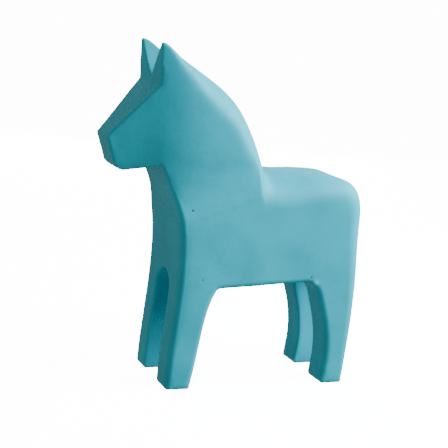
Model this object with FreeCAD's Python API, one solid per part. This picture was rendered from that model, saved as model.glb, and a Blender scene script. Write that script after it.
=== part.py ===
"""A painted wooden dala horse: three pine boards glued into a blank, carved as one block and painted.

Millimetres, +Z up, the horse faces -X. The origin is the bottom centre of the bounding box, on the
plane that the four soles stand on. Y = 0 is the plane of symmetry.
"""

import FreeCAD, Part
import math
import os

Vector = FreeCAD.Vector

# ---- driving dimensions -------------------------------------------------------------------------
BOARD = 19.6                  # thickness of each of the three boards in the glued blank
BODY_HALF = 1.5 * BOARD       # half the width over the body and the legs
PAINT = 0.6                   # primer, filler and colour coats together
GLUE = 0.2                    # thickness of a glue line
FAR = 60.0                    # how far the cutting tools reach past the surfaces they cut
TRIM = 0.15                   # how far the neck's sides swell past the body's flat sides before the trim

# ---- side view, (x, z) --------------------------------------------------------------------------
CHEST = [(-40.3, 0), (-38.9, 25.0), (-37.1, 50.0), (-36.2, 72.0), (-37.6, 95.0), (-40.5, 110.0),
         (-45.4, 122.7), (-49.3, 131.2)]
CHIN = (-73.5, 125.4)
NOSE = (-80.1, 145.8)
BROW = (-53.5, 177.3)
CREST = [(-57.0, 199.8), (-54.8, 200.9), (-51.6, 200.3), (-48.2, 198.1), (-43.1, 193.8), (-33.7, 188.1),
         (-18.8, 179.8), (-10.9, 174.2), (-3.7, 167.3), (2.6, 157.9), (7.2, 147.8), (15.6, 128.5),
         (20.8, 117.5)]
BACK = [(4.0, 129.0), (23.1, 128.9), (46.6, 128.0), (60.9, 126.9), (72.3, 124.0), (78.6, 115.3),
        (80.0, 100.0), (80.1, 75.0), (79.5, 48.0), (77.7, 24.0), (75.7, 0), (75.2, -6.0)]
HIND_LEG_FRONT = [(60.0, -6.0), (60.2, 0), (61.8, 14.0), (61.6, 25.0), (58.9, 40.0), (55.4, 51.2),
                  (52.0, 59.6), (45.6, 64.1)]
FRONT_LEG_BACK = [(-11.4, 60.6), (-13.6, 56.6), (-16.5, 48.0), (-19.5, 31.0), (-22.2, 14.0), (-24.3, 0)]
INSIDE_X = (-2.5, 12.8)       # the belly ends of the hidden joins inside the neck and inside the body
INSIDE_Z = 100.0              # the height they start to lean at

# ---- widths of the head and neck ----------------------------------------------------------------
MUZZLE_HALF = 11.5            # half the width along the front of the muzzle
CHEEK_HALF = 20.9             # half the width along the line from brow to throat
NECK_HALF = 26.4              # half the width that the neck swells to behind that line
CHEEK_HOLLOW = 1.3            # how hollow the side of the muzzle is, 1 being flat
NECK_REACH = 15.0             # how far back the neck takes to swell
EAR_TAPER = 0.0035            # share of its width that the head loses for each mm above the brow
SHOULDER_LOW = 93.0           # at the chest, the body narrows to the neck between these two heights
SHOULDER_HIGH = 117.0
SHOULDER_RISE = 0.35          # and this much higher for each mm further back

# ---- openings -----------------------------------------------------------------------------------
HIND_GAP_HALF = 0.5 * BOARD   # the centre board is left out between the hind legs
FRONT_GAP_HALF = 11.4         # the gap between the front legs is carved a little wider
FRONT_ARCH = [(-41.4, 69.0), (-10.9, 59.0)]   # top of the front gap, from the chest to the belly
HIND_ARCH = [(80.6, 72.0), (45.6, 62.0)]     # top of the hind gap, from the rump to the belly
NOTCH = [(-53.8, 179.5), (-25.4, 188.0)]     # bottom of the notch between the ears
NOTCH_HALF = 17.2             # half its width at the ear tips

# ---- rounded tops and edges ---------------------------------------------------------------------
CROWN_POINTS = 25             # points across a rounded top
# Width and height of the rounding at each side of the top:
EAR_CROWN = (3.0, 1.6)
NECK_CROWN = (20.0, 17.0)
WITHERS_CROWN = (17.0, 12.0)
BACK_CROWN = (28.0, 19.0)
RUMP_CROWN = (11.0, 11.0)
SOLE_CROWN = (3.0, 3.0)
NECK = (0.05, 0.55)           # shares of the way along the crest where the rounding widens
RUMP = (0.08, 0.34)           # shares of the way along the back where the rounding tightens
CROWN_CLEAR = 0.4             # how far the crest's cutter reaches past the sides
CHEST_RADIUS = 4.0            # between the chest and the sides
THROAT_RADIUS = 1.6           # the same where it ends at the throat
NEAR_THROAT = 0.7             # the share of the way up the chest where it starts to tighten
BARELY_OUT = 1.04             # how far the chest's cutter reaches, in radii: its rounded side
WELL_OUT = 4.0                # and its far side
CHIN_RADIUS = 6.5
BELLY_RADIUS = 3.0
GAP_RADIUS = 1.6
SOLE_RADIUS = 2.2
UNDER_BELLY = 15.0            # a place between the front and the hind legs
LEG_EDGES = (-25.0, 70.0)     # between these x, the edges at the sides are those of the belly and the legs
ANKLE = 5.0                   # the height above which the legs' edges are rounded
BELLY_TOP = 70.0              # no belly edge is higher
GAP_EDGES = ((5.0, 15.0), (10.0, 50.0))   # the gaps' long edges have their middles in these y and z

# ---- how finely the curved surfaces are laid out ------------------------------------------------
SIDES_START = (-92.5, -6.0)   # first x and z of the grid over the neck's sides
SIDES_STEP = (4.0, 6.0)
SIDES_COUNT = (35, 47)
CREST_START = -63.0           # the same across the crest
CREST_STEP = 3.0
CREST_COUNT = 33
CHEST_STATIONS = 16
BACK_STATIONS = 40


def at(point, y=0.0):
    """The side-view point (x, z) at width y."""
    return Vector(point[0], y, point[1])


def inset(loop, depth):
    """The closed side-view outline moved inwards, except for the soles on z = 0."""
    chain = [p for segment in loop for p in segment[:-1]]
    area = sum(a[0] * b[1] - b[0] * a[1] for a, b in zip(chain, chain[1:] + chain[:1]))
    turn = math.copysign(depth, area)
    moved = {}
    for before, here, after in zip(chain[-1:] + chain[:-1], chain, chain[1:] + chain[:1]):
        u = (at(here) - at(before)).normalize()
        v = (at(after) - at(here)).normalize()
        mitre = turn / (1 + u.dot(v))
        x = here[0] - mitre * (u.z + v.z)
        z = here[1] + mitre * (u.x + v.x)
        moved[here] = (x, z if here[1] > 0 else here[1])
    return [[moved[p] for p in segment] for segment in loop]


def outline_edges(segments, y):
    """Edges at width y for a run of straight (two points) and smooth (more points) segments."""
    edges = []
    for segment in segments:
        if len(segment) == 2:
            edges.append(Part.makeLine(at(segment[0], y), at(segment[1], y)))
        else:
            spline = Part.BSplineCurve()
            spline.interpolate([at(p, y) for p in segment])
            edges.append(spline.toShape())
    return edges


def prism(loop, half):
    """The solid between -half and +half over a closed loop of segments."""
    return Part.Face(Part.Wire(outline_edges(loop, -half))).extrude(Vector(0, 2 * half, 0))


def on_belly(x):
    """The side-view point at x on the straight belly."""
    front, back = FRONT_LEG_BACK[0], HIND_LEG_FRONT[-1]
    return x, front[1] + (x - front[0]) * (back[1] - front[1]) / (back[0] - front[0])


def front_loop():
    """Front legs, chest and head; the top is left high and the end of it lies inside the body."""
    ear_high = (CREST[0][0], CREST[0][1] + FAR)
    body_high = (CREST[-1][0], ear_high[1])
    body_low = (CREST[-1][0], INSIDE_Z)
    belly = on_belly(INSIDE_X[1])
    return [CHEST, [CHEST[-1], CHIN], [CHIN, NOSE], [NOSE, BROW], [BROW, ear_high], [ear_high, body_high],
            [body_high, body_low], [body_low, belly], [belly, FRONT_LEG_BACK[0]], FRONT_LEG_BACK,
            [FRONT_LEG_BACK[-1], CHEST[0]]]


def back_loop():
    """Back, rump, hind legs and belly; the start of it lies inside the neck."""
    belly = on_belly(INSIDE_X[0])
    neck_low = (BACK[0][0], INSIDE_Z)
    return [BACK, [BACK[-1], HIND_LEG_FRONT[0]], HIND_LEG_FRONT, [HIND_LEG_FRONT[-1], belly],
            [belly, neck_low], [neck_low, BACK[0]]]


def smooth_step(u):
    u = min(max(u, 0.0), 1.0)
    return u * u * (3 - 2 * u)


def half_width(x, z):
    """Half the horse's width at side-view point (x, z), on the head, neck and shoulder."""
    muzzle_x = NOSE[0] + (NOSE[1] - z) * (CHIN[0] - NOSE[0]) / (NOSE[1] - CHIN[1])
    cheek_x = BROW[0] + (BROW[1] - z) * (CHEST[-1][0] - BROW[0]) / (BROW[1] - CHEST[-1][1])
    along = (x - muzzle_x) / (cheek_x - muzzle_x)
    if along < 1:
        neck = MUZZLE_HALF + (CHEEK_HALF - MUZZLE_HALF) * max(along, 0.0) ** CHEEK_HOLLOW
    else:
        neck = CHEEK_HALF + (NECK_HALF - CHEEK_HALF) * (1 - math.exp((cheek_x - x) / NECK_REACH))
    neck *= 1 - EAR_TAPER * max(z - BROW[1], 0.0)
    rise = SHOULDER_RISE * max(x - CHEST[-1][0], 0.0)
    shoulder = smooth_step((SHOULDER_HIGH + rise - z) / (SHOULDER_HIGH - SHOULDER_LOW))
    return neck + (BODY_HALF + TRIM - neck) * shoulder


def solid_between(inner, outer):
    """The solid between two grids of points."""
    faces = []
    for grid in (inner, outer):
        surface = Part.BSplineSurface()
        surface.interpolate(grid)
        faces.append(surface.toShape())
    ends = [Part.makeRuledSurface(a, b) for a, b in zip(faces[0].Edges, faces[1].Edges)]
    return Part.makeSolid(Part.makeShell(faces + ends))


def height_along(points, x):
    """The height at x of the smooth curve through the points, carried on straight past its ends."""
    spline = Part.BSplineCurve()
    spline.interpolate([at(p) for p in points])
    chain = spline.discretize(60)
    i = 1
    while i < len(chain) - 1 and chain[i].x < x:
        i += 1
    a, b = chain[i - 1], chain[i]
    return a.z + (x - a.x) * (b.z - a.z) / (b.x - a.x)


def neck_sides(depth):
    """A block as wide as half_width() says, less depth, that the front of the horse is cut from."""
    left, right = [], []
    heights = [SIDES_START[1] + SIDES_STEP[1] * k for k in range(SIDES_COUNT[1])]
    for i in range(SIDES_COUNT[0]):
        x = SIDES_START[0] + SIDES_STEP[0] * i
        left.append([Vector(x, depth - half_width(x, z), z) for z in heights])
        right.append([Vector(x, half_width(x, z) - depth, z) for z in heights])
    return solid_between(left, right)


def crown(half, width, height):
    """(y, drop) evenly spaced across a top that is rounded at both sides, from left to right."""
    quarter = [math.radians(degrees) for degrees in range(0, 91, 5)]
    right = [(half - width + width * math.sin(a), height * (1 - math.cos(a))) for a in quarter]
    dense = [Vector(-y, drop, 0) for y, drop in reversed(right)] + [Vector(y, drop, 0) for y, drop in right]
    evenly = Part.makePolygon(dense).discretize(CROWN_POINTS)
    return [(p.x, p.y) for p in evenly]


def between(crown_a, crown_b, share, span):
    """The crown at this share of the way, changing from crown_a to crown_b over the span of shares."""
    u = smooth_step((share - span[0]) / (span[1] - span[0]))
    return [a + (b - a) * u for a, b in zip(crown_a, crown_b)]


def over_crest(depth):
    """All that is carved away above the rounded top of the ears and the neck."""
    inner, outer = [], []
    for i in range(CREST_COUNT):
        x = CREST_START + CREST_STEP * i
        slope = (height_along(CREST, x + 1) - height_along(CREST, x - 1)) / 2
        steep = math.hypot(1, slope)
        painted_top = height_along(CREST, x)
        share = (x - CREST[0][0]) / (CREST[-2][0] - CREST[0][0])
        width, height = between(EAR_CROWN, NECK_CROWN, share, NECK)
        if share > NECK[1]:
            width, height = between(NECK_CROWN, WITHERS_CROWN, share, (NECK[1], 1))
        half = half_width(x, painted_top - height * steep) - depth + CROWN_CLEAR
        tops = crown(half, width - depth, height - depth)
        section = [(y, painted_top - (depth + drop) * steep) for y, drop in tops]
        inner.append([Vector(x, y, z) for y, z in section])
        outer.append([Vector(x, 1.5 * y, z + 1.5 * FAR) for y, z in section])
    return solid_between(inner, outer)


def along_chest(chest, depth, side):
    """All that is carved away from the edge between the chest and one side, up to the throat."""
    spline = Part.BSplineCurve()
    spline.interpolate([at(p) for p in chest])
    inner, outer = [], []
    for i in range(-1, CHEST_STATIONS + 1):
        share = i / CHEST_STATIONS
        u = spline.FirstParameter + (spline.LastParameter - spline.FirstParameter) * max(share, 0.0)
        up = spline.tangent(u)[0]
        place = spline.value(u) + up * min(share, 0.0) * 2 * FAR
        inward = Vector(up.z, 0, -up.x)
        tight = smooth_step((share - NEAR_THROAT) / (1 - NEAR_THROAT))
        radius = CHEST_RADIUS - (CHEST_RADIUS - THROAT_RADIUS) * tight
        centre = place + inward * (radius - depth)
        half = min(half_width(centre.x, centre.z), BODY_HALF) - depth
        for grid, reach in ((inner, BARELY_OUT), (outer, WELL_OUT)):
            section = []
            for degrees in range(0, 91, 15):
                angle = math.radians(degrees)
                y = half + (radius - depth) * (reach * math.sin(angle) - 1)
                forward = (radius - depth) * reach * math.cos(angle)
                section.append(centre - inward * forward + Vector(0, side * y, 0))
            grid.append(section)
    return solid_between(inner, outer)


def edges_where(shape, test):
    """The edges whose middle point passes the test."""
    picked = []
    for edge in shape.Edges:
        middle = edge.valueAt(0.5 * (edge.FirstParameter + edge.LastParameter))
        if test(middle):
            picked.append(edge)
    return picked


def biggest(shape):
    return max(shape.Solids, key=lambda solid: solid.Volume)


def wedge(bottom, half):
    """A V-shaped cutter along the bottom line, spreading to half at the ear tips."""
    spread = half / (CREST[0][1] - bottom[0][1])
    along = (at(bottom[1]) - at(bottom[0])) * 0.5
    start = at(bottom[0]) - along
    up = Vector(0, 0, FAR)
    corners = [start, start + up + Vector(0, spread * FAR, 0), start + up - Vector(0, spread * FAR, 0)]
    return Part.Face(Part.makePolygon(corners + corners[:1])).extrude(along * 4)


def arch(top, half):
    """A round-topped cutter whose top line falls from top[0] to top[1], down past the soles."""
    along = (at(top[1]) - at(top[0])) * 0.25
    start = at(top[0]) - along
    spring = start - Vector(0, 0, half)
    left = Vector(0, -half, 0)
    down = Vector(0, 0, -FAR - half)
    curve = Part.Arc(spring + left, start, spring - left).toShape()
    corners = [spring - left, spring - left + down, spring + left + down, spring + left]
    return Part.Face(Part.Wire([curve] + Part.makePolygon(corners).Edges)).extrude(along * 6)


def front_body(depth):
    """Front legs, chest, neck and head without the openings, depth below the painted surface."""
    solid = prism(inset(front_loop(), depth), BODY_HALF - depth)
    solid = solid.common(neck_sides(depth))
    solid = biggest(solid.cut(over_crest(depth)))
    chest = inset(front_loop(), depth)[0]
    for side in (-1, 1):
        solid = biggest(solid.cut(along_chest(chest, depth, side)))
    return solid


def back_body(depth):
    """Back, rump and hind legs without the openings, depth below the painted surface."""
    half = BODY_HALF - depth
    spline = Part.BSplineCurve()
    spline.interpolate([at(p) for p in BACK])
    grid = []
    for i in range(BACK_STATIONS + 1):
        share = i / BACK_STATIONS
        u = spline.FirstParameter + (spline.LastParameter - spline.FirstParameter) * share
        along = spline.tangent(u)[0]
        inward = Vector(along.z, 0, -along.x)
        width, height = between(BACK_CROWN, RUMP_CROWN, share, RUMP)
        if share > RUMP[1]:
            width, height = between(RUMP_CROWN, SOLE_CROWN, share, (RUMP[1], 1))
        section = crown(half, width - depth, height - depth)
        grid.append([spline.value(u) + inward * (depth + drop) + Vector(0, y, 0) for y, drop in section])
    surface = Part.BSplineSurface()
    surface.interpolate(grid)
    u0, u1, v0, v1 = surface.bounds()
    start, end = surface.uIso(u0).toShape(), surface.uIso(u1).toShape()
    left, right = surface.vIso(v0).toShape(), surface.vIso(v1).toShape()

    front_of_leg, belly, to_neck = inset(back_loop(), depth)[2:5]
    lower = [[(grid[-1][0].x, grid[-1][0].z), front_of_leg[0]], front_of_leg, belly, to_neck]
    lower.append([to_neck[-1], (grid[0][0].x, grid[0][0].z)])
    lower_edges = outline_edges(lower, -half)
    across = Vector(0, 2 * half, 0)
    mirrored = [edge.translated(across) for edge in lower_edges]
    faces = [surface.toShape()]
    faces += [Part.Face(Part.Wire([left] + lower_edges)), Part.Face(Part.Wire([right] + mirrored))]
    faces += [edge.extrude(across) for edge in lower_edges]
    for edge, corner in ((start, grid[0]), (end, grid[-1])):
        faces.append(Part.Face(Part.Wire([edge, Part.makeLine(corner[-1], corner[0])])))
    shell = Part.makeShell(faces)
    shell.sewShape()
    solid = Part.makeSolid(shell)
    return biggest(solid.cut(Part.makeBox(4 * FAR, 4 * FAR, FAR, Vector(-2 * FAR, -2 * FAR, -FAR))))


def carving(depth):
    """The whole carving, depth below the painted surface."""
    solid = front_body(depth).fuse(back_body(depth)).removeSplitter()
    solid = solid.cut(wedge([(x, z - depth) for x, z in NOTCH], NOTCH_HALF + depth))
    solid = solid.cut(arch([(x, z + depth) for x, z in FRONT_ARCH], FRONT_GAP_HALF + depth))
    solid = biggest(solid.cut(arch([(x, z + depth) for x, z in HIND_ARCH], HIND_GAP_HALF + depth)))

    chin = edges_where(solid, lambda m: (m - at(CHIN)).Length < 4 * PAINT)
    solid = biggest(solid.makeFillet(CHIN_RADIUS - depth, chin))
    at_side = BODY_HALF - depth - TRIM
    first, last = LEG_EDGES
    sides = edges_where(solid, lambda m: abs(m.y) > at_side and ANKLE < m.z < BELLY_TOP)
    under = [edge for edge in sides if first < edge.CenterOfMass.x < last]
    return biggest(solid.makeFillet(BELLY_RADIUS - depth, under))


def round_gaps(solid):
    """The painted solid with the long edges of the gaps between the legs rounded."""
    (narrow, wide), (low, high) = GAP_EDGES
    edges = edges_where(solid, lambda m: narrow < abs(m.y) < wide and low < m.z < high)
    return biggest(solid.makeFillet(GAP_RADIUS, edges))


def rounding(corner, side, sole):
    """The section of a bar that rounds the edge at the corner, between a side and the sole."""
    side, sole = side.normalize(), sole.normalize()
    half_angle = side.getAngle(sole) / 2
    reach = SOLE_RADIUS / math.tan(half_angle)
    centre = corner + (side + sole).normalize() * (SOLE_RADIUS / math.sin(half_angle))
    middle = centre + (corner - centre).normalize() * SOLE_RADIUS
    high, low = corner + side * reach, corner + sole * reach
    outside = (corner - centre).normalize() * SOLE_RADIUS * 2
    arc = Part.Arc(high, middle, low).toShape()
    rest = Part.makePolygon([low, low + outside, high + outside, high]).Edges
    return Part.Face(Part.Wire([arc] + rest))


def round_soles(solid, depth):
    """The solid with the edges around its four soles rounded."""
    front, back = inset(front_loop(), depth), inset(back_loop(), depth)
    across = Vector(0, 4 * FAR, 0)
    ends = []
    for low, high, into in ((front[0][0], front[0][1], 1), (front[-2][-1], front[-2][-2], -1),
                            (back[2][1], back[2][2], 1), (back[0][-2], back[0][-3], -1)):
        bar = rounding(at(low), at(high) - at(low), Vector(into, 0, 0))
        ends.append(bar.extrude(across).translated(-across * 0.5))
    outer = BODY_HALF - depth
    sides = []
    for y, into, start in ((outer, -1, -2 * FAR), (FRONT_GAP_HALF + depth, 1, -2 * FAR),
                           (outer, -1, UNDER_BELLY), (HIND_GAP_HALF + depth, 1, UNDER_BELLY)):
        for side in (-1, 1):
            corner = Vector(start, side * y, 0)
            bar = rounding(corner, Vector(0, 0, 1), Vector(0, side * into, 0))
            sides.append(bar.extrude(Vector(2 * FAR + UNDER_BELLY, 0, 0)))
    for bar in ends + sides:
        solid = biggest(solid.cut(bar))
    return solid


def slab(low, high):
    """Everything between two heights across the horse, y = low to y = high."""
    return Part.makeBox(4 * FAR, high - low, 4 * FAR, Vector(-2 * FAR, low, -1))


def main():
    os.makedirs("parts", exist_ok=True)
    painted = round_soles(round_gaps(carving(0.0)), 0.0)
    wood = round_soles(carving(PAINT), PAINT)

    seam = 0.5 * BOARD
    half_glue = 0.5 * GLUE
    pieces = {
        "left_board": wood.common(slab(-2 * BOARD, -seam - half_glue)),
        "glue_line_left": wood.common(slab(-seam - half_glue, -seam + half_glue)),
        "centre_board": wood.common(slab(-seam + half_glue, seam - half_glue)),
        "glue_line_right": wood.common(slab(seam - half_glue, seam + half_glue)),
        "right_board": wood.common(slab(seam + half_glue, 2 * BOARD)),
        "paint_coat": painted.cut(wood),
    }
    for node, piece in pieces.items():
        piece.exportStep("parts/" + node + ".step")


main()
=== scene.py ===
"""Looks of a painted wooden dala horse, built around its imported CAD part. Metres, +Z up."""

import math

import bpy
import numpy as np
from mathutils import Matrix, Vector, noise
from mathutils.bvhtree import BVHTree


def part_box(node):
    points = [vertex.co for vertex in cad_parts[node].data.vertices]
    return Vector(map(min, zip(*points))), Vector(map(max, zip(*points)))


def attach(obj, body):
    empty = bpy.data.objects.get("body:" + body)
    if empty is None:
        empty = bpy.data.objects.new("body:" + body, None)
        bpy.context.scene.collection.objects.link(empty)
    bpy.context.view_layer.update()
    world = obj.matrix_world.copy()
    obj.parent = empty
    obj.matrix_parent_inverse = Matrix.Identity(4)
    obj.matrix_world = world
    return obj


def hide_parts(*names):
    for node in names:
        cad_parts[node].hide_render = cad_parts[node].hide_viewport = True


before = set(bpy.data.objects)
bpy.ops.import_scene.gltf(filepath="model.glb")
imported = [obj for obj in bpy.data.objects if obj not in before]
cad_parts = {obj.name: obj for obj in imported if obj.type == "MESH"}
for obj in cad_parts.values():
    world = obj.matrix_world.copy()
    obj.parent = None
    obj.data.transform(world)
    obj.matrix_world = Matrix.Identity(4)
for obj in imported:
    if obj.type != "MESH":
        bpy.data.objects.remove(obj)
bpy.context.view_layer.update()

LOW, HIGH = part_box("paint_coat")
HEIGHT = HIGH.z - LOW.z
MM = HEIGHT / 200.8              # one millimetre at the modelled size
BOARDS = ("left_board", "centre_board", "right_board")
GLUE_LINES = ("glue_line_left", "glue_line_right")

# The painted skin.
GRAIN = 0.7 * MM                 # spacing of the skin's mesh
SOLE_RIM = 0.15 * MM             # how far the paint's edge stays above the bare soles
COVERING = 0.40 * MM             # least paint over the wood where the skin is smoothed
THINNEST = 0.25 * MM             # least paint anywhere
SEARCH = 4 * MM                  # how far from the skin the wood is looked for
BARE = 0.5 * MM                  # height above the soles that needs no covering
SWELL = 0.40 * MM                # added along the crest, to make up for what smoothing takes there

# How much the skin is smoothed, in rounds of drawing each point towards its neighbours.
PULL = 0.6                       # the share of the way that one round draws it
ROUNDS_PER_PASS = 24             # rounds before the skin is moved clear of the wood again
POLISH = 2                       # rounds for the whole skin, before and after the handwork
SOFT_CREST = 36
SOFT_WITHERS = 40
SOFT_CHEST = 40
SOFT_SHOULDER = 150
SOFT_BROW = 20
SOFT_CHIN = 24
SOFT_FEET = 16
SOFT_RUMP = 20

# Signs of handwork, in millimetres.
CARVED_SPACING = 24.0            # between the shallow rises and hollows left by the knife
CARVED_DEPTH = 0.20
# Each dip is a place (x, y, z), a radius and a depth; a negative depth is a rise.
DIPS = (((37, 0, 128), 15, 0.4), ((24, 8, 129), 9, -0.3), ((-4, -29.5, 78), 22, 0.4),
        ((30, -29.5, 70), 20, 0.3), ((10, 29.5, 84), 24, 0.35))
# Each drip of paint is a place, a radius and a height.
DRIPS = (((50.0, -28.8, 63.6), 3.0, 0.9), ((-11.0, -28.4, 61.5), 1.8, 0.35), ((-30, 11.6, 55), 2.0, 0.4))
# Each pinhole is a place and a radius, which is also its depth.
PINHOLES = (((-31.3, -28.3, 107.3), 0.7), ((-22.5, -29.4, 66.7), 0.4), ((47.5, -29.4, 67.8), 0.6),
            ((58, 29.4, 96), 0.45))
PINHOLE_SPREAD = 2.5             # a pinhole's reach on the skin, in radii
EDGE_ROUNDS = 12                 # rounds of smoothing that show what stands out
EDGE_RANGE = 0.8                 # from the deepest crease to the sharpest edge

# Colours.
PAINT_DEEP = (0.0, 0.33, 0.46, 1)
PAINT_PALE = (0.0, 0.39, 0.54, 1)
# Lighter paint for the edges: partly wear, partly a painted highlight.
PAINT_WORN_AND_LIT = (0.0, 0.45, 0.56, 1)
# Painted shade: darker paint for the creases.
PAINTED_CREASE_SHADE = (0.0, 0.17, 0.23, 1)
# Painted shade: near-black for the inside of the pinholes.
PINHOLE_SHADE = (0.01, 0.05, 0.06, 1)
PINE_DARK = (0.62, 0.42, 0.21, 1)
PINE_LIGHT = (0.78, 0.60, 0.36, 1)
DRY_GLUE = (0.60, 0.48, 0.27, 1)
FLOOR_WHITE = (0.9, 0.9, 0.9, 1)
KEY_COLOUR = (0.55, 1.0, 1.0)
SURROUNDINGS_COLOUR = (1, 0.95, 0.84, 1)

# The stage.
FLOOR_REACH = 16 * HEIGHT        # from the horse to the floor's front edge, and to its wall
FLOOR_CURVE = 13                 # points along the curve from the floor up to the wall
FLOOR_GLOW = 14.0                # stands in for a lit white sweep
SURROUNDINGS_GLOW = 0.46

# The view, in degrees and in millimetres.
VIEW_AZIMUTH = -22.4             # round from the horse's left side, towards its head
VIEW_ELEVATION = 11.0
VIEW_ROLL = -5.0
VIEW_LENS = 95.8
VIEW_SENSOR = 36
VIEW_FROM = (-268.7, -651.7, 230.8)


# ---- the painted skin ---------------------------------------------------------------------------

def gather(names):
    """Vertices, and the faces as lists of their numbers, of several CAD nodes together."""
    points, faces = [], []
    for name in names:
        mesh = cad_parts[name].data
        start = len(points)
        points += [v.co.copy() for v in mesh.vertices]
        faces += [[start + i for i in p.vertices] for p in mesh.polygons]
    return points, faces


def carved_surface():
    """A search tree over the outer surface of the wood, without the faces where the boards are joined."""
    points, faces = gather(BOARDS)
    glue_low, glue_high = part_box("glue_line_right")
    near, far = glue_low.y - 0.01 * MM, glue_high.y + 0.01 * MM
    on_seam = [near < abs(p.y) < far for p in points]
    outer = [f for f in faces if not all(on_seam[i] for i in f)]
    return BVHTree.FromPolygons(points, outer)


def voxel_skin(points, faces, grain):
    """A closed, even mesh over the outside of all the faces."""
    mesh = bpy.data.meshes.new("paint_skin")
    mesh.from_pydata(points, [], faces)
    skin = bpy.data.objects.new("paint_skin", mesh)
    bpy.context.scene.collection.objects.link(skin)
    remesh = skin.modifiers.new("even_grain", "REMESH")
    remesh.mode = "VOXEL"
    remesh.voxel_size = grain
    remesh.adaptivity = 0.0
    evaluated = skin.evaluated_get(bpy.context.evaluated_depsgraph_get())
    result = bpy.data.meshes.new_from_object(evaluated)
    skin.modifiers.clear()
    skin.data = result
    return skin


def read_points(mesh):
    """The places of the mesh's vertices, one in each row."""
    flat = np.empty(3 * len(mesh.vertices))
    mesh.vertices.foreach_get("co", flat)
    return flat.reshape(-1, 3)


def read_normals(mesh):
    """The directions in which the mesh's vertices face."""
    flat = np.empty(3 * len(mesh.vertices))
    mesh.vertices.foreach_get("normal", flat)
    return flat.reshape(-1, 3)


def write_points(mesh, co):
    """Moves the mesh's vertices to new places."""
    mesh.vertices.foreach_set("co", co.ravel())
    mesh.update()


def relax(points, edges, weight, rounds):
    """Points drawn towards the mean of their neighbours, rounding edges the more the heavier their weight."""
    count = np.bincount(edges.ravel(), minlength=len(points))[:, None]
    for _ in range(rounds):
        total = np.zeros_like(points)
        for axis in range(3):
            total[:, axis] = np.bincount(edges[:, 0], points[edges[:, 1], axis], len(points))
            total[:, axis] += np.bincount(edges[:, 1], points[edges[:, 0], axis], len(points))
        points = points + PULL * weight[:, None] * (total / count - points)
    return points


def ramp(value, start, end):
    """0 at start, 1 at end, smooth in between."""
    u = np.clip((value - start) / (end - start), 0.0, 1.0)
    return u * u * (3 - 2 * u)


def along_crest(x, z):
    """1 over the neck's crest, 0 away from it."""
    return ramp(z, 128, 140) * ramp(x, -50, -36)


def softness(x, y, z):
    """Rounds of smoothing for the skin at each place: crisp edges stay where there are none.

    The ramps run between places along the horse, x, across it, y, and heights, z, in millimetres.
    """
    crest = SOFT_CREST * along_crest(x, z)
    withers = SOFT_WITHERS * ramp(z, 108, 116) * ramp(x, -6, 6) * (1 - ramp(x, 24, 34))
    off_the_gaps = ramp(np.abs(y), 15, 22)
    chest = SOFT_CHEST * (1 - ramp(x, -30, -24)) * ramp(z, 20, 40) * (1 - ramp(z, 118, 128)) * off_the_gaps
    shoulder = SOFT_SHOULDER * ramp(z, 84, 96) * (1 - ramp(z, 124, 136)) * ramp(np.abs(y), 19, 23)
    shoulder *= ramp(x, -34, -24) * (1 - ramp(x, 14, 24))
    brow = SOFT_BROW * (1 - ramp(x, -50, -46)) * ramp(z, 171, 175) * (1 - ramp(z, 181, 185))
    chin = SOFT_CHIN * (1 - ramp(z, 134, 140)) * ramp(z, 118, 122) * (1 - ramp(x, -66, -60))
    feet = SOFT_FEET * (1 - ramp(z, 4, 10))
    rump = SOFT_RUMP * ramp(x, 44, 56) * ramp(z, 100, 112)
    return np.maximum.reduce([crest, withers, chest, shoulder, brow, chin, feet, rump])


def keep_covered(co, wood_surface, paint):
    """Moves out the points that smoothing has drawn nearer to the wood than the thickness of paint."""
    for i, p in enumerate(co):
        if p[2] > LOW.z + BARE:
            place, normal = wood_surface.find_nearest(Vector(p), SEARCH)[:2]
            if place is not None and (Vector(p) - place).dot(normal) < paint:
                co[i] = place + normal * paint
    return co


def bulge(co, centre, radius):
    """1 at the centre, falling smoothly to 0 at the radius."""
    apart = np.linalg.norm(co - np.array(centre) * MM - np.array((0, 0, LOW.z)), axis=1)
    return 1 - ramp(apart, 0, radius * MM)


def handwork(co):
    """How far each point stands proud of a perfect surface: knife work, drips and pinholes."""
    spacing = CARVED_SPACING * MM
    waves = np.array([noise.noise(Vector(p) / spacing) for p in co])
    proud = CARVED_DEPTH * waves
    for centre, radius, depth in DIPS:
        proud -= depth * bulge(co, centre, radius)
    for centre, radius, height in DRIPS:
        proud += height * bulge(co, centre, radius)
    for centre, radius in PINHOLES:
        proud -= radius * bulge(co, centre, PINHOLE_SPREAD * radius)
    return proud * MM


def smooth_by_rounds(co, edges, rounds, wood_surface):
    """Relaxes each point for about as many rounds as it asks for, without baring the wood."""
    passes = int(np.ceil(rounds.max() / ROUNDS_PER_PASS))
    for i in range(passes):
        share = np.clip(rounds / ROUNDS_PER_PASS - i, 0.0, 1.0)
        co = keep_covered(relax(co, edges, share, ROUNDS_PER_PASS), wood_surface, COVERING)
    return co


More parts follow.
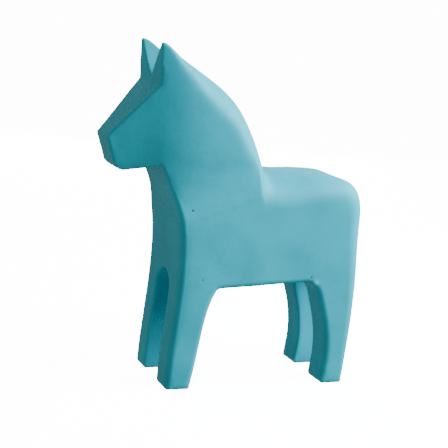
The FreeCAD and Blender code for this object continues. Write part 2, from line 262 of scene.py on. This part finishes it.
def make_skin():
    """The painted surface: the outside of the CAD's solids, softened and marked by handwork."""
    wood_surface = carved_surface()
    points, faces = gather(BOARDS + GLUE_LINES + ("paint_coat",))
    skin = voxel_skin(points, faces, GRAIN)
    mesh = skin.data
    edges = np.empty(2 * len(mesh.edges), dtype=np.int64)
    mesh.edges.foreach_get("vertices", edges)
    edges = edges.reshape(-1, 2)
    co = read_points(mesh)
    x, y, z = co[:, 0] / MM, co[:, 1] / MM, (co[:, 2] - LOW.z) / MM

    everywhere = np.ones(len(co))
    co = keep_covered(relax(co, edges, everywhere, POLISH), wood_surface, COVERING)
    co += read_normals(mesh) * (SWELL * along_crest(x, z))[:, None]
    co = smooth_by_rounds(co, edges, softness(x, y, z), wood_surface)
    write_points(mesh, co)

    above_soles = ramp(z, 0.5, 3.0)
    co += read_normals(mesh) * (handwork(co) * above_soles)[:, None]
    co = keep_covered(co, wood_surface, COVERING)
    co = keep_covered(relax(co, edges, everywhere, POLISH), wood_surface, THINNEST)
    co[:, 2] = np.maximum(co[:, 2], LOW.z + SOLE_RIM)
    write_points(mesh, co)
    mesh.polygons.foreach_set("use_smooth", np.ones(len(mesh.polygons), dtype=bool))
    mark_edges(mesh, co, edges)
    return skin


def mark_edges(mesh, co, edges):
    """Stores how far each point stands out from its surroundings: 0 in a crease, 1 on an edge."""
    around = relax(co, edges, np.ones(len(co)), EDGE_ROUNDS)
    proud = np.einsum("ij,ij->i", co - around, read_normals(mesh)) / MM
    layer = mesh.attributes.new("standing_out", "FLOAT", "POINT")
    layer.data.foreach_set("value", np.clip(0.5 + proud / EDGE_RANGE, 0.0, 1.0))


# ---- materials ----------------------------------------------------------------------------------

class Shader:
    """A material's node tree with short ways to add and join nodes."""

    def __init__(self, name):
        self.material = bpy.data.materials.new(name)
        self.material.use_nodes = True
        self.tree = self.material.node_tree
        self.surface = self.tree.nodes["Principled BSDF"]

    def node(self, kind, values=None, **settings):
        """A new node, with values or links for its inputs and settings for itself."""
        made = self.tree.nodes.new("ShaderNode" + kind)
        for key, value in settings.items():
            setattr(made, key, value)
        for socket, value in (values or {}).items():
            self.put(made.inputs[socket], value)
        return made

    def put(self, socket, value):
        """Links the value to the input if it is another node's output, or else sets it."""
        if isinstance(value, bpy.types.NodeSocket):
            self.tree.links.new(value, socket)
        else:
            socket.default_value = value

    def set(self, socket, value):
        """Sets or links one of the surface's own inputs."""
        self.put(self.surface.inputs[socket], value)

    def place(self, scale=(1, 1, 1)):
        """Object coordinates in millimetres, stretched by scale."""
        coordinates = self.node("TexCoord").outputs["Object"]
        mapping = self.node("Mapping", {"Vector": coordinates, "Scale": [s / MM for s in scale]})
        return mapping.outputs["Vector"]

    def noise(self, place, scale, detail=2.0, roughness=0.5):
        """Cloudy noise, 1 / scale millimetres from crest to crest."""
        values = {"Vector": place, "Scale": scale, "Detail": detail, "Roughness": roughness}
        return self.node("TexNoise", values).outputs["Fac"]

    def remap(self, value, low, high, to_low, to_high):
        """The value, with low to high stretched to new ends and cut off beyond them."""
        values = {"Value": value, "From Min": low, "From Max": high, "To Min": to_low, "To Max": to_high}
        return self.node("MapRange", values).outputs["Result"]

    def mix(self, share, a, b):
        """Colour a where the share is 0 and colour b where it is 1."""
        made = self.node("Mix", data_type="RGBA")
        self.put(made.inputs["Factor"], share)
        self.put(made.inputs["A"], a)
        self.put(made.inputs["B"], b)
        return made.outputs["Result"]

    def times(self, a, b):
        return self.node("Math", {0: a, 1: b}, operation="MULTIPLY").outputs[0]

    def near(self, centre, inner, outer):
        """1 within inner millimetres of the place, 0 beyond outer."""
        coordinates = self.node("TexCoord").outputs["Object"]
        place = tuple(Vector(centre) * MM + Vector((0, 0, LOW.z)))
        apart = self.node("VectorMath", {0: coordinates, 1: place}, operation="DISTANCE").outputs["Value"]
        return self.remap(apart, inner * MM, outer * MM, 1.0, 0.0)

    def bump(self, height, strength, distance, below=None):
        """The surface's direction, roughened by a height; below is a bump to add it to."""
        values = {"Height": height, "Strength": strength, "Distance": distance}
        if below is not None:
            values["Normal"] = below
        return self.node("Bump", values).outputs["Normal"]


def turquoise_paint():
    """Brushed satin paint, lighter on the edges as painted highlight and wear, and darkened in the creases by
    painted shade.
    """
    paint = Shader("turquoise_paint")
    cloud = paint.noise(paint.place(), 0.035, 3.0)
    colour = paint.mix(paint.remap(cloud, 0.35, 0.65, 0.0, 1.0), PAINT_DEEP, PAINT_PALE)
    out = paint.node("Attribute", attribute_name="standing_out").outputs["Fac"]
    flecks = paint.noise(paint.place(), 0.9, 4.0, 0.7)
    # Lighter paint on the edges, broken up by flecks: partly wear, partly a painted highlight.
    worn_and_lit_edges = paint.remap(out, 0.60, 0.95, 0.0, 0.7)
    worn_and_lit_edges = paint.times(worn_and_lit_edges, paint.remap(flecks, 0.42, 0.62, 0.2, 1.0))
    colour = paint.mix(worn_and_lit_edges, colour, PAINT_WORN_AND_LIT)
    # Painted shade: the paint darkens towards the deepest creases.
    colour = paint.mix(paint.remap(out, 0.40, 0.15, 0.0, 0.8), colour, PAINTED_CREASE_SHADE)
    # Painted shade in each pinhole: near-black at its middle, fading out at 1.3 radii.
    for centre, radius in PINHOLES:
        colour = paint.mix(paint.near(centre, 0.5 * radius, 1.3 * radius), colour, PINHOLE_SHADE)
    paint.set("Base Color", colour)

    strokes = paint.noise(paint.place((0.10, 1.0, 1.0)), 0.45, 4.0, 0.6)
    paint.set("Roughness", paint.remap(strokes, 0.3, 0.7, 0.50, 0.62))
    paint.set("Specular IOR Level", 0.26)
    peel = paint.noise(paint.place(), 0.35, 3.0)
    normal = paint.bump(strokes, 0.35, 0.10 * MM)
    normal = paint.bump(peel, 0.30, 0.20 * MM, normal)
    paint.set("Normal", normal)
    return paint.material


def pine():
    """Sanded pine with its growth rings running along the horse."""
    wood = Shader("pine")
    rings = wood.noise(wood.place((0.06, 1.0, 1.0)), 0.35, 3.0, 0.6)
    late = wood.remap(rings, 0.35, 0.65, 0.0, 1.0)
    wood.set("Base Color", wood.mix(late, PINE_DARK, PINE_LIGHT))
    wood.set("Roughness", 0.72)
    wood.set("Normal", wood.bump(rings, 0.3, 0.2 * MM))
    return wood.material


def wood_glue():
    """Dried wood glue, a little shinier than the pine."""
    glue = Shader("wood_glue")
    glue.set("Base Color", DRY_GLUE)
    glue.set("Roughness", 0.5)
    return glue.material


def dress(obj, material):
    """Gives the whole piece one material."""
    obj.data.materials.clear()
    obj.data.materials.append(material)


# ---- stage, light and camera --------------------------------------------------------------------

def studio():
    """A plain pale floor that curves up behind the horse."""
    radius = FLOOR_REACH * 0.5
    angles = np.linspace(0, math.pi / 2, FLOOR_CURVE)
    curve = [(radius + radius * math.sin(a), radius * (1 - math.cos(a))) for a in angles]
    profile = [(-FLOOR_REACH, 0.0)] + curve + [(FLOOR_REACH, 2 * FLOOR_REACH)]
    points = [(side * 3 * FLOOR_REACH, y, LOW.z + z) for y, z in profile for side in (-1, 1)]
    faces = [(2 * i, 2 * i + 1, 2 * i + 3, 2 * i + 2) for i in range(len(profile) - 1)]
    mesh = bpy.data.meshes.new("floor")
    mesh.from_pydata(points, [], faces)
    mesh.polygons.foreach_set("use_smooth", [True] * len(faces))
    floor = bpy.data.objects.new("floor", mesh)
    bpy.context.scene.collection.objects.link(floor)
    shade = Shader("pale_floor")
    shade.set("Base Color", FLOOR_WHITE)
    shade.set("Roughness", 0.9)
    shade.set("Emission Color", (1, 1, 1, 1))
    shade.set("Emission Strength", FLOOR_GLOW)
    dress(floor, shade.material)
    floor.visible_diffuse = False
    floor.visible_glossy = False


def area_light(name, azimuth, elevation, distance, size, power, colour=(1, 1, 1)):
    """A square soft light aimed at the middle of the horse.

    Azimuth 0 is straight out from the left side and 90 is behind the rump. Distance and size are in
    heights of the horse.
    """
    a, e = math.radians(azimuth), math.radians(elevation)
    away = Vector((math.sin(a) * math.cos(e), -math.cos(a) * math.cos(e), math.sin(e)))
    lamp = bpy.data.lights.new(name, "AREA")
    lamp.shape = "SQUARE"
    lamp.size = size * HEIGHT
    lamp.energy = power
    lamp.color = colour
    obj = bpy.data.objects.new(name, lamp)
    obj.location = Vector((0, 0, LOW.z + 0.5 * HEIGHT)) + away * distance * HEIGHT
    obj.rotation_euler = away.to_track_quat("Z", "Y").to_euler()
    bpy.context.scene.collection.objects.link(obj)
    return obj


def lights():
    """A soft cool key from behind and to the left, a weak fill on the right, and dim surroundings."""
    area_light("key", azimuth=66, elevation=32, distance=3.2, size=2, power=15.5, colour=KEY_COLOUR)
    fill = area_light("fill", azimuth=165, elevation=20, distance=5, size=4, power=9)
    fill.visible_glossy = False
    world = bpy.data.worlds.new("surroundings")
    world.use_nodes = True
    background = world.node_tree.nodes["Background"]
    background.inputs["Color"].default_value = SURROUNDINGS_COLOUR
    background.inputs["Strength"].default_value = SURROUNDINGS_GLOW
    bpy.context.scene.world = world


def camera():
    """Looks at the left side from ahead and a little above, with the horizon a few degrees off level."""
    a, e, roll = (math.radians(d) for d in (VIEW_AZIMUTH, VIEW_ELEVATION, VIEW_ROLL))
    back = Vector((math.sin(a) * math.cos(e), -math.cos(a) * math.cos(e), math.sin(e)))
    right = Vector((math.cos(a), math.sin(a), 0))
    up = back.cross(right)
    turned = math.cos(roll) * right - math.sin(roll) * up
    upright = math.sin(roll) * right + math.cos(roll) * up
    data = bpy.data.cameras.new("camera")
    data.lens = VIEW_LENS
    data.sensor_width = VIEW_SENSOR
    data.clip_end = 100
    obj = bpy.data.objects.new("camera", data)
    axes = Matrix((turned, upright, back)).transposed().to_4x4()
    obj.matrix_world = Matrix.Translation(Vector(VIEW_FROM) * MM) @ axes
    bpy.context.scene.collection.objects.link(obj)
    bpy.context.scene.camera = obj


# ---- the scene ----------------------------------------------------------------------------------

skin = make_skin()
dress(skin, turquoise_paint())
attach(skin, "root")
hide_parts("paint_coat")

pine_wood = pine()
for name in BOARDS:
    dress(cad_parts[name], pine_wood)
glue = wood_glue()
for name in GLUE_LINES:
    dress(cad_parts[name], glue)

studio()
lights()
camera()
